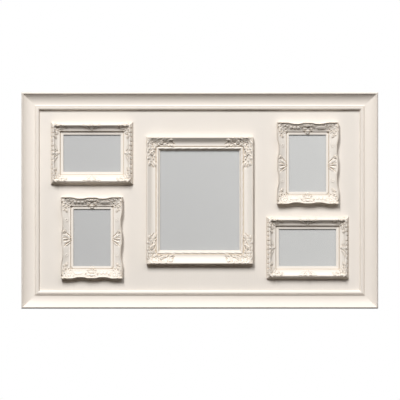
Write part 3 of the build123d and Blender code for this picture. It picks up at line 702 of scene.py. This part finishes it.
def carve(name, size, face, place, base, relief, sweep=None, step=0.55):
    """Build a small frame: base moulding plus relief, walls down to the board, flat back."""
    x, z, depth = ring_places(size, face, step)
    carved = relief(x, z, size)
    height = np.minimum(base(depth) + carved, top_of_carving)
    shown_x, shown_z = (x, z) if sweep is None else sweep(x, z, depth, size)
    outside, face_on, window_side = slice(0, 1), slice(None), slice(-1, None)
    skin = [(outside, 0.0), (outside, 0.5), (face_on, 1.0), (window_side, 0.5), (window_side, 0.0)]
    x_all = np.concatenate([shown_x[:, part] for part, _ in skin], axis=1)
    z_all = np.concatenate([shown_z[:, part] for part, _ in skin], axis=1)
    h_all = np.concatenate([height[:, part] * share for part, share in skin], axis=1)
    points = np.stack([place[0] + x_all, -board_front - h_all, place[1] + z_all], axis=-1)
    faces = outward(points, grid_faces(*x_all.shape, True, True))
    piece = new_piece(name, points, faces.tolist())
    # Painted shade for the paint: darkening in recesses, at the foot and in the groove, none on
    # the walls.
    spread = np.zeros(x_all.shape)
    spread[:, 2:-2] = painted_shade_share(carved, depth)
    layer = piece.data.attributes.new("painted_shade", "FLOAT", "POINT")
    layer.data.foreach_set("value", spread.ravel())
    piece.data.materials.append(casting_paint)
    sharp_by_angle(piece, 60)
    return piece


print("greatest height of the carving over the board:", top_of_carving, "mm")

# %% [markdown]
# ## Landscape frames
#
# Their section starts with a sloped side that has a fine ledge, rises to a round crest,
# falls in a cove to a low bead, and ends in a flat lip behind a fine groove.

# %% Section of the landscape frames
landscape_window = (143.0, 93.0)
landscape_face = 31.5


def landscape_base(depth):
    """Straight runs between corners of the section, with circle arcs for crest and cove."""
    crest = arc_points((5.6, 12.8), (8.2, 16), (10.4, 14.9), 10)
    cove = arc_points((10.5, 13.4), (13.4, 9.8), (17.2, 7.4), 14)
    bead = arc_points((19.0, 6.6), (21.4, 6.2), (23.4, 5.3), 8)
    runs = np.concatenate([
        [(0, 1.5), (2.4, 8.0), (3.4, 8.0)], crest, cove, bead,
        [(23.8, 0.9), (24.6, 1.8), (landscape_face, 1.0)],
    ])
    return np.interp(depth, runs[:, 0], runs[:, 1])


print("outside:", outer_size(landscape_window, landscape_face), "mm; height at crest and lip:",
      landscape_base(np.array([8.2, landscape_face])).round(1).tolist())

# %% [markdown]
# The corners carry a fluted leaf on the mitre with scrolled leaves along both sides, and
# the middle of each side has a small shell. One corner and half a middle are drawn, and
# folding the frame on its two middle lines gives the rest. A row places one ornament, in
# millimetres along a side and inwards, and then says its width, height and bow.

# %% Ornaments of the landscape frames
def landscape_corner(a, b):
    """Foliage from the mitre along one side: a runs along it, b inwards."""
    return [
        spray(a, b, (9, 8), (38, 11.5), 1.2, 5, 8.5, 3.4),
        leaf(a, b, (13, 13.5), (30, 20.5), 5.6, 2.8, -1.4),
        leaf(a, b, (23, 12.5), (33, 18), 4.2, 2.4, 0.8),
        scroll(a, b, (38.0, 12.4), 2.8, 2.6),
        bead(a, b, (15.5, 5.6), 2.2, 1.6),
        bead(a, b, (24, 6.0), 1.8, 1.4),
    ]


def landscape_middle(a, b):
    """One half of a middle ornament: lobes on the crest and a tongue into the cove."""
    return [
        shell(a, b, (0, 21), -np.pi / 2, 13.0, 0.8, 5, 3.2),
        leaf(a, b, (0, 12.5), (0, 22.5), 5.2, 3.4),
        oval(a, b, (0, 7.4), 3.4, 2.4, 2.0),
        leaf(a, b, (3.2, 15.5), (11.5, 9.2), 4.8, 3.4, -1.4),
        leaf(a, b, (6.5, 17.5), (17.0, 13.0), 4.6, 3.0, -1.0),
        leaf(a, b, (11, 11.8), (22.5, 9.0), 4.4, 2.8, 1.0),
        scroll(a, b, (12.4, 12.0), 2.4, 2.2),
        bead(a, b, (19.5, 6.2), 1.8, 1.4),
    ]


patch = np.meshgrid(np.linspace(0, 80, 161), np.linspace(0, landscape_face, 64))
print("corner and middle, tallest:", tallest(np.maximum.reduce(landscape_corner(*patch))),
      tallest(np.maximum.reduce(landscape_middle(*patch))), "mm")

# %% [markdown]
# The crest of the two upright sides is cut across into a row of lumps, 11.4 mm apart, with
# a small drilled hollow on its outer slope between two of them. V cuts part the leaves.

# %% Landscape frames
lump_pitch = 11.4
landscape_place = 118.0
column_place = 269.5


def landscape_relief(x, z, size):
    """Corner foliage, middle lobes, and a row of lumps along each upright crest."""
    cx, cz = size[0] / 2 - np.abs(x), size[1] / 2 - np.abs(z)
    found = [leaf(cx, cz, (8, 8), (25, 25), 8.5, 3.4, ribs=3)]
    found += landscape_corner(cx, cz) + landscape_corner(cz, cx)
    found += landscape_middle(np.abs(x), cz) + landscape_middle(np.abs(z), cx)
    carved = np.maximum.reduce(found)
    cuts = np.maximum.reduce([
        gouge(cx, cz, (12, 14), (22, 15.5), 2.2, 2.2),
        gouge(cz, cx, (12, 14), (22, 15.5), 2.2, 2.2),
        gouge(cx, cz, (24, 12.5), (34, 15.5), 2.0, 2.0),
        gouge(cz, cx, (24, 12.5), (34, 15.5), 2.0, 2.0),
        gouge(np.abs(x), cz, (2.4, 10.5), (6.0, 16), 2.0, 2.4),
        gouge(np.abs(z), cx, (2.4, 10.5), (6.0, 16), 2.0, 2.4),
    ])
    upright = (cx < cz) & (np.abs(z) < size[1] / 2 - 10)
    turn = np.pi * z / lump_pitch
    drilled = 3.2 * np.exp(-(((cx - 4.2) / 1.5) ** 2)) * np.abs(np.sin(turn)) ** 14
    lump = 1.0 * np.exp(-(((cx - 7.4) / 2.4) ** 2)) * np.abs(np.cos(turn)) ** 2
    return carved - cuts + upright * (lump - drilled)


size = outer_size(landscape_window, landscape_face)
for name, place in (
    ("landscape_frame_top_left", (-column_place, landscape_place)),
    ("landscape_frame_bottom_right", (column_place, -landscape_place)),
):
    piece = carve(
        f"{name}_casting", size, landscape_face, place, landscape_base, landscape_relief
    )
    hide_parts(name)

# %% [markdown]
# ## Portrait frames
#
# These have a swept outline: full at the corners, drawn in beside them, and fuller again
# where the middle ornaments sit. Only the outer edge moves; the window stays straight, so
# the shift fades from the outer edge to the groove beside the lip. The section is a long
# cove under a narrow crest, with a bead, the fine groove and the lip.

# %% Swept outline and section of the portrait frames
portrait_window = (93.0, 143.0)
portrait_face = 30.5
short_side_sweep = 3.4
long_side_sweep = 4.0
sweep_fade = 24.0


def sweep_depth(along, half, depth):
    """How far the outline is drawn in at a place along a side: smooth steps between shares
    of half the side, none at the corner, full beside it, less at the middle."""
    share = np.array([0, 0.07, 0.13, 0.23, 0.32, 0.51])
    cut = np.array([0.25, 0.25, 1.0, 1.0, 0.0, 0.0])
    fine = np.linspace(0, 0.505, 200)
    blur = np.hanning(25) / np.hanning(25).sum()
    line = np.pad(np.interp(fine, share, cut), 12, mode="edge")
    line = np.convolve(line, blur, mode="valid")
    return depth * np.interp(np.abs(along) / (2 * half), fine, line)


def portrait_sweep(x, z, depth, size):
    """Move each place inwards by the sweep at its side, fading to nothing at the groove."""
    fade = np.clip(1 - depth / sweep_fade, 0, 1)
    on_level = (size[1] / 2 - np.abs(z)) <= (size[0] / 2 - np.abs(x))
    cut_z = sweep_depth(x, size[0] / 2, short_side_sweep) * fade * on_level
    cut_x = sweep_depth(z, size[1] / 2, long_side_sweep) * fade * ~on_level
    return x - np.sign(x) * cut_x, z - np.sign(z) * cut_z


def portrait_base(depth):
    """Steep side, narrow round crest, long cove, low bead, fine groove and lip."""
    crest = arc_points((0.2, 14.6), (1.0, 16), (2.2, 14.9), 8)
    cove = arc_points((2.6, 13.4), (10.8, 8.6), (19.2, 4.4), 16)
    bead = arc_points((19.8, 4.0), (21.6, 4.2), (23.4, 3.3), 8)
    runs = np.concatenate([
        [(0, 12.6)], crest, cove, bead,
        [(23.8, 0.6), (24.6, 1.6), (portrait_face, 1.0)],
    ])
    return np.interp(depth, runs[:, 0], runs[:, 1])


print("outside:", outer_size(portrait_window, portrait_face), "mm; height at crest and lip:",
      portrait_base(np.array([1.0, portrait_face])).round(1).tolist())

# %% [markdown]
# Each corner has foliage along both sides. A short side has a boss with scrolls and a bib
# over the lip at its middle, and a long side a fan of leaves that grows from the lip.

# %% Ornaments of the portrait frames
def portrait_corner(a, b):
    """Foliage from a corner along one side: a runs along it, b inwards."""
    return [
        spray(a, b, (6, 5), (34, 9.5), 1.4, 5, 8.0, 2.8),
        spray(a, b, (10, 11), (28, 19.5), -1.0, 4, 6.5, 2.4),
        scroll(a, b, (35, 13.5), 2.8, 2.2),
    ]


def portrait_cartouche(a, b):
    """One half of the boss on a short side: round boss, scrolls and a bib over the lip."""
    return [
        oval(a, b, (0, 8.8), 6.0, 3.4, 3.8),
        leaf(a, b, (4.5, 11), (14, 7.0), 5.0, 3.0, -1.4),
        leaf(a, b, (3, 15), (12.5, 15.5), 4.6, 2.8, 1.0),
        scroll(a, b, (14.5, 10.0), 2.6, 2.6),
        scroll(a, b, (9.0, 19.0), 2.4, 2.4),
        shell(a, b, (0, 13.5), np.pi / 2, 17.2, 0.42, 3, 3.4),
    ]


def portrait_fan(a, b):
    """Leaf fan on a long side, rooted at the lip a little under the middle of the side."""
    return [
        leaf(a, b, (-4, 25.5), (8.5, 6.0), 8.0, 2.6, 1.2, 2, 2),
        leaf(a, b, (-4.5, 26), (-3.0, 4.0), 6.4, 2.8, 0.8, 1, 2),
        leaf(a, b, (-5, 26), (-12.5, 5.5), 6.0, 2.6, -1.0, 1, 2),
        leaf(a, b, (-6, 25), (-20.0, 9.5), 5.4, 2.2, -2.0, 2, 2),
        scroll(a, b, (15.0, 8.0), 3.6, 2.4),
    ]


print("corner and boss, tallest:", tallest(np.maximum.reduce(portrait_corner(*patch))),
      tallest(np.maximum.reduce(portrait_cartouche(*patch))), "mm")

# %% [markdown]
# Between corner and middle a short side has an oval boss, smooth at one end and three beads
# at the other, over a ground of fine trellis. V cuts part the leaves of the fans.

# %% Portrait frames
portrait_place = 93.0
trellis_pitch = 4.4


def portrait_relief(x, z, size):
    """Fans in corners and on long sides, bosses on short sides, ovals between them."""
    cx, cz = size[0] / 2 - np.abs(x), size[1] / 2 - np.abs(z)
    found = [leaf(cx, cz, (5, 5), (25, 25), 8.0, 3.0, ribs=2)]
    found += portrait_corner(cx, cz) + portrait_corner(cz, cx)
    found += portrait_cartouche(np.abs(x), cz) + portrait_fan(z, cx)
    found.append(flower(np.abs(z), cx, (44, 12.5), 5.0, 1.1))
    carved = np.maximum.reduce(found)
    smooth = oval(np.abs(x), cz, (33.0, 12.4), 14.0, 5.4, 2.4)
    lumps = sum(bead(np.abs(x), cz, (along, 12.4), 4.4, 3.0) for along in (42.0, 33.0, 24.0))
    lumps = np.maximum(lumps, np.where(smooth > 0.1, 0.5, 0.0))
    carved = np.maximum(carved, np.where((x < 0) == (z > 0), lumps, smooth))
    ground = (cz < cx) & (cz > 4.5) & (cz < 19) & (carved < 0.05) & (cx > cz + 6)
    rising = np.sin(np.pi * (x + cz) / trellis_pitch)
    falling = np.sin(np.pi * (x - cz) / trellis_pitch)
    carved = np.where(ground, np.abs(rising * falling) ** 0.5, carved)
    cuts = [gouge(cx, cz, (29.4, 23.6), (24.2, 28.8), 2.2, 2.6)]
    for stroke in (
        ((14.5, 11.5), (0.5, 25.0), 2.6, 2.6), ((8.0, 3.8), (13.5, 8.5), 2.2, 1.8),
        ((0.5, 5.0), (-3.5, 25.5), 2.2, 2.4), ((-7.5, 5.0), (-5.0, 24.5), 2.4, 2.3),
        ((-21.5, 5.0), (-7.0, 26.0), 2.8, 2.8),
    ):
        cuts.append(gouge(z, cx, *stroke))
    cuts.append(gouge(np.abs(x), cz, (0, 13.2), (5.4, 11.6), 2.4, 3.2))
    return carved - np.maximum.reduce(cuts)


size = outer_size(portrait_window, portrait_face)
for name, place in (
    ("portrait_frame_bottom_left", (-column_place, -portrait_place)),
    ("portrait_frame_top_right", (column_place, portrait_place)),
):
    piece = carve(
        f"{name}_casting", size, portrait_face, place, portrait_base, portrait_relief,
        portrait_sweep,
    )
    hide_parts(name)

# %% [markdown]
# ## Centre frame
#
# The large frame has a smooth rounded crest, a deep cove with a small edge, and a twisted
# ribbon in a channel beside a narrow lip. The ribbon is round in section, and its turns are
# grooves that slant across it at an even pitch of about 22 mm.

# %% Section and ribbon of the centre frame
centre_window = (196.0, 247.0)
centre_face = 35.5
carved_face = 34.2
ribbon_middle, ribbon_half = 28.3, 2.7
ribbon_pitch, ribbon_slant = 22.0, 9.0


def centre_base(depth):
    """Rounded crest, straight fall into a cove, small edge, channel of the ribbon, lip."""
    cove = arc_points((10.5, 9.8), (15.0, 6.8), (20.5, 5.6), 14)
    runs = np.concatenate([
        [(0, 13.5), (0.5, 14.9), (1.2, 15.7), (2.2, 16), (3.8, 16), (4.8, 14.8)], cove,
        [(22.6, 5.8), (23.6, 5.6), (24.4, 4.2), (25.2, 4.3), (30.0, 4.0), (31.0, 3.3), (31.6, 1.6),
         (carved_face, 0.5)],
    ])
    return np.interp(depth, runs[:, 0], runs[:, 1])


def ribbon(along, across, half):
    """Twisted ribbon: round in section, with slanting grooves at an even pitch."""
    count = round(2 * half / ribbon_pitch)
    pitch = 2 * half / count
    phase = along / pitch + across / ribbon_slant
    groove = np.abs(np.cos(np.pi * phase)) ** 6
    body = np.sqrt(np.clip(1 - (across / ribbon_half) ** 2, 0, 1))
    return (2.1 - 0.9 * groove) * body


print("outside:", outer_size(centre_window, centre_face), "mm; turns of the ribbon:",
      [round(side / ribbon_pitch) for side in centre_window])

# %% [markdown]
# Its corners carry the richest carving: scrolled foliage that runs along both sides, an oval
# and a small flower. V cuts part the leaves.

# %% Ornaments of the centre frame
def centre_corner(a, b):
    """Scrolled foliage of a corner along one side: a runs along it, b inwards."""
    return [
        spray(a, b, (8, 7), (44, 9.5), 2.0, 5, 11.0, 2.2),
        spray(a, b, (22, 17), (58, 22.5), -2.4, 6, 9.0, 2.8),
        spray(a, b, (44, 9.0), (71, 14.5), -2.0, 4, 8.0, 2.2),
        leaf(a, b, (14, 15), (30, 24), 6.0, 3.0, 1.2),
        leaf(a, b, (58, 18), (72, 25.5), 5.0, 3.0, 1.4),
        oval(a, b, (62, 8.2), 4.8, 2.6, 2.8),
        scroll(a, b, (38, 14.0), 4.0, 3.4),
        scroll(a, b, (27, 20.5), 3.2, 2.8, hand=-1),
        bead(a, b, (50, 4.6), 2.8, 1.8),
        bead(a, b, (34, 4.4), 2.4, 1.6),
        bead(a, b, (20, 4.4), 2.2, 1.4),
        flower(a, b, (64, 22.5), 3.8, 3.0),
    ]


def centre_cuts(a, b):
    """V cuts that part the leaves of a corner, along one side."""
    strokes = (
        ((30, 7), (33, 12), 2.0, 1.6), ((44, 13.5), (55, 19), 2.4, 2.8),
        ((52, 6), (54.5, 10), 2.0, 1.8), ((63, 12), (71, 19.5), 2.6, 3.2),
        ((13, 13), (20, 18), 2.0, 2.0), ((33, 18.5), (40, 21), 2.2, 2.6),
    )
    return [gouge(a, b, *stroke) for stroke in strokes]


print("corner, tallest:", tallest(np.maximum.reduce(centre_corner(*patch))), "mm")

# %% [markdown]
# The corners are drawn for the level sides. Along the upright sides the same foliage is
# drawn out a little, by 1 / 0.92, because these sides are longer.

# %% Centre frame
upright_share = 0.92


def centre_relief(x, z, size):
    """Corner leaves cut apart by gouges, and the ribbon along the sight edge."""
    cx, cz = size[0] / 2 - np.abs(x), size[1] / 2 - np.abs(z)
    level = cz < cx
    band = np.where(level, cz, cx) - ribbon_middle
    twisted = np.where(
        level,
        ribbon(x, band, size[0] / 2 - centre_face),
        ribbon(z, band, size[1] / 2 - centre_face),
    )
    tall = cz * upright_share
    found = [leaf(cx, cz, (5, 5), (29, 29), 9.0, 3.6, ribs=3)]
    found += centre_corner(cx, cz) + centre_corner(tall, cx)
    carved = np.maximum(np.maximum.reduce(found), twisted)
    cuts = np.maximum.reduce(centre_cuts(cx, cz) + centre_cuts(tall, cx))
    return carved - cuts


size = outer_size(centre_window, centre_face)
piece = carve("centre_casting", size, carved_face, (0, 0), centre_base, centre_relief, step=0.7)
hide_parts("centre_frame")

# %% [markdown]
# ## Studio
#
# The background is pure white. The world gives that white to the rays that come from the
# camera, off a gloss or through the glass. For all other rays it is a weak warm fill, as
# the light that comes back from a cream room.

# %% World
scene = bpy.context.scene
scene.view_settings.view_transform = "Standard"
world = bpy.data.worlds.new("white studio")
scene.world = world
world.use_nodes = True
tree = world.node_tree
tree.nodes.clear()
room_colour = (1.0, 0.62, 0.34, 1)
room_strength = 0.022
path = node(tree, "ShaderNodeLightPath")
seen = node(tree, "ShaderNodeMath", {"operation": "MAXIMUM"},
            links={0: path.outputs["Is Camera Ray"], 1: path.outputs["Is Glossy Ray"]})
seen = node(tree, "ShaderNodeMath", {"operation": "MAXIMUM"},
            links={0: seen.outputs[0], 1: path.outputs["Is Transmission Ray"]})
fill = node(tree, "ShaderNodeBackground", inputs={"Color": room_colour, "Strength": room_strength})
white = node(tree, "ShaderNodeBackground", inputs={"Color": (1, 1, 1, 1), "Strength": 1.0})
both = node(tree, "ShaderNodeMixShader",
            links={0: seen.outputs[0], 1: fill.outputs[0], 2: white.outputs[0]})
node(tree, "ShaderNodeOutputWorld", links={"Surface": both.outputs[0]})
print("world nodes:", len(tree.nodes))

# %% [markdown]
# The light comes from above and in front. A narrow strip softbox at the upper left draws
# the short crisp shadows, which fall down and to the right. A broad weak lamp at the upper
# right fills the other side, so both upright rails come out alike. Two soft lamps behind
# show the back, and from the front they add nothing to the face.

# %% Lamps
def area_lamp(name, place, size, power):
    """Area lamp, size wide by size high in metres, at a place and turned to the frame."""
    lamp = bpy.data.lights.new(name, "AREA")
    lamp.shape = "RECTANGLE"
    lamp.size, lamp.size_y = size
    lamp.energy = power
    holder = bpy.data.objects.new(name, lamp)
    scene.collection.objects.link(holder)
    holder.location = place
    holder.rotation_euler = (-Vector(place)).to_track_quat("-Z", "Y").to_euler()


area_lamp("strip softbox, left", (-1.6, -5.3, 5.0), (1.3, 3.0), 590.0)
area_lamp("soft lamp, right", (2.6, -5.3, 5.0), (6.0, 3.0), 205.0)
area_lamp("lamp behind, left", (-3.2, 3.4, 0.4), (2.6, 2.6), 78.0)
area_lamp("lamp behind, right", (3.2, 3.4, 0.4), (2.6, 2.6), 78.0)
print("lamps:", len(bpy.data.lights))

# %% [markdown]
# The photograph looks straight at the frame, without any sides of it in view, so the camera
# stands three metres away with a long lens.

# %% Camera
camera = bpy.data.cameras.new("front camera")
camera.lens = 108.0
camera.sensor_width = 36.0
holder = bpy.data.objects.new("front camera", camera)
scene.collection.objects.link(holder)
holder.location = (0.0006, -3.021, 0.001)
holder.rotation_euler = (math.pi / 2, 0, 0)
scene.camera = holder
print("camera:", tuple(round(v, 4) for v in holder.location), "lens", camera.lens, "mm")
